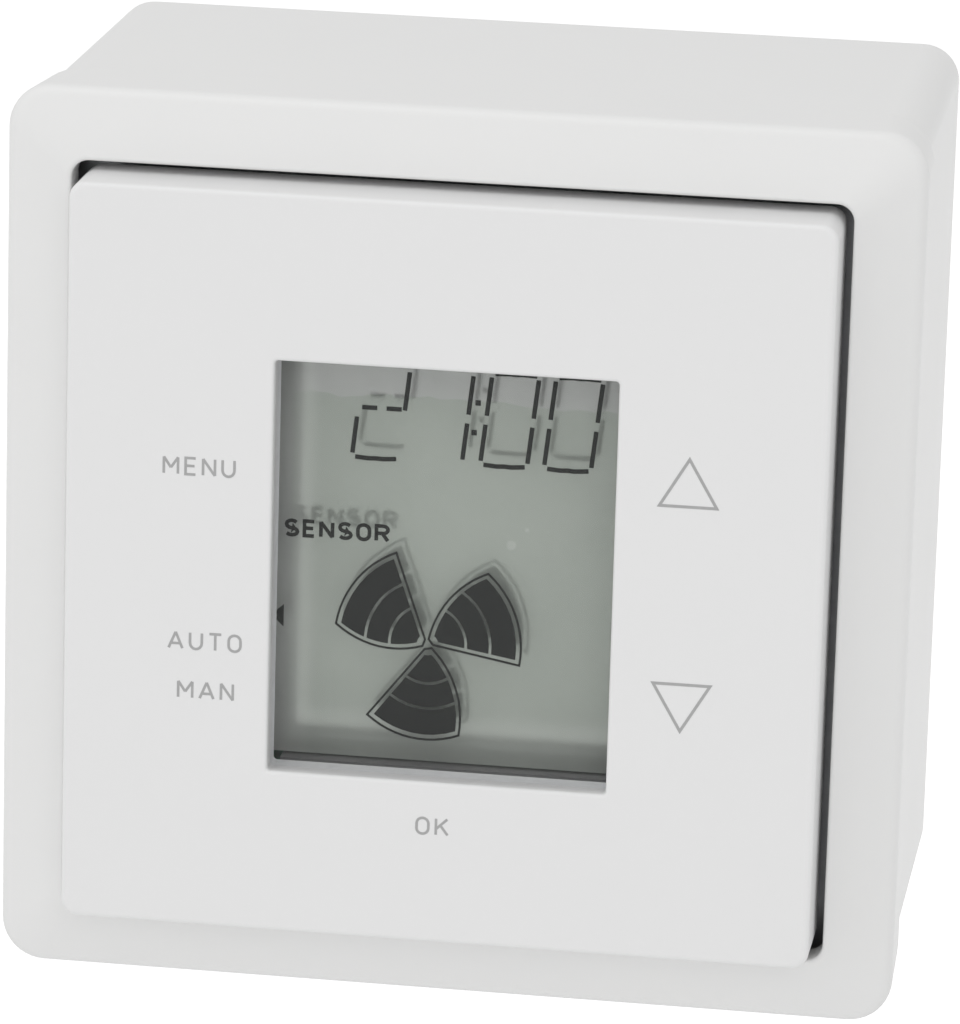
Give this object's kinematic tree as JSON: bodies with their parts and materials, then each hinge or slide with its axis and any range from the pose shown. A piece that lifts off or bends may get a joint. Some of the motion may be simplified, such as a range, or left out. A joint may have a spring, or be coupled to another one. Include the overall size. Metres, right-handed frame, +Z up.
{
  "type": "wall-mounted room fan controller",
  "caption": "Square surface-mounted room controller with a back box, sloping frame, display window and a front plate that tilts to press its keys.",
  "frame": {"origin": "centre of the square back face, on the wall", "axes": "+Y into the wall, +Z up, +X to the right as seen from the front; the front faces -Y"},
  "size_m": [0.084, 0.0546, 0.084],
  "materials": {
    "white_shell": "fine satin",
    "white_plate": "smooth satin",
    "pale_moulding": "moulded",
    "dark_moulding": "moulded",
    "grey_moulding": "moulded",
    "blue_moulding": "moulded",
    "board": "lacquered",
    "zinc_steel": "zinc plated",
    "tin": "tinned",
    "iron": "laminated",
    "copper": "enamelled wire",
    "alloy": "rolled",
    "resin": "potted",
    "rubber_mat": "silicone",
    "dark_rubber": "silicone",
    "display_glass": "clear",
    "display_film": "grey-green",
    "window_pane": "clear",
    "diffuser": "milky"
  },
  "bodies": {
    "wall_unit": {"back_box": "white_shell", "support_plate": "zinc_steel", "plate_screws": "zinc_steel", "decor_frame": "white_shell", "device_housing": "grey_moulding", "chassis": "pale_moulding", "housing_screws": "zinc_steel", "power_board": "board", "terminal_block": "pale_moulding", "terminal_clamps": "tin", "terminal_screws": "zinc_steel", "fuse_tube": "display_glass", "fuse_caps": "tin", "transformer_core": "iron", "transformer_winding": "resin", "relay": "blue_moulding", "film_capacitor": "resin", "smoothing_capacitors": "dark_moulding", "varistor": "blue_moulding", "choke_core": "iron", "choke_winding": "copper", "triac": "dark_moulding", "heat_sink": "alloy", "board_header": "dark_moulding", "header_socket": "dark_moulding", "control_board": "board", "board_screws": "zinc_steel", "microcontroller": "dark_moulding", "clock_crystal": "tin", "backup_cell": "tin", "cell_holder": "dark_moulding", "room_sensor": "dark_moulding", "backlight_leds": "diffuser", "light_guide": "diffuser", "display_holder": "grey_moulding", "display_reflector": "display_film", "display_rear_glass": "display_glass", "display_front_glass": "display_glass", "display_polariser": "display_glass", "contact_strips": "dark_rubber", "key_mat": "rubber_mat", "contact_pills": "dark_rubber", "ring_pins": "zinc_steel"},
    "tilt_ring": {"tilt_ring": "pale_moulding", "plate_pins": "zinc_steel"},
    "front_plate": {"front_plate": "white_plate", "display_window": "window_pane", "window_seal": "rubber_mat"}
  },
  "joints": [
    {"name": "plate_tilt_up_down", "type": "hinge", "parent": "wall_unit", "child": "tilt_ring", "pos_m": [0, -0.0479, 0], "axis": [1, 0, 0], "range_deg": [-1.2, 1.2], "stiffness_Nm_per_rad": 1, "deforming": ["key_mat", "contact_pills"]},
    {"name": "plate_tilt_left_right", "type": "hinge", "parent": "tilt_ring", "child": "front_plate", "pos_m": [0, -0.0479, 0], "axis": [0, 0, 1], "range_deg": [-1.2, 1.2], "stiffness_Nm_per_rad": 1, "deforming": ["key_mat", "contact_pills"]}
  ]
}
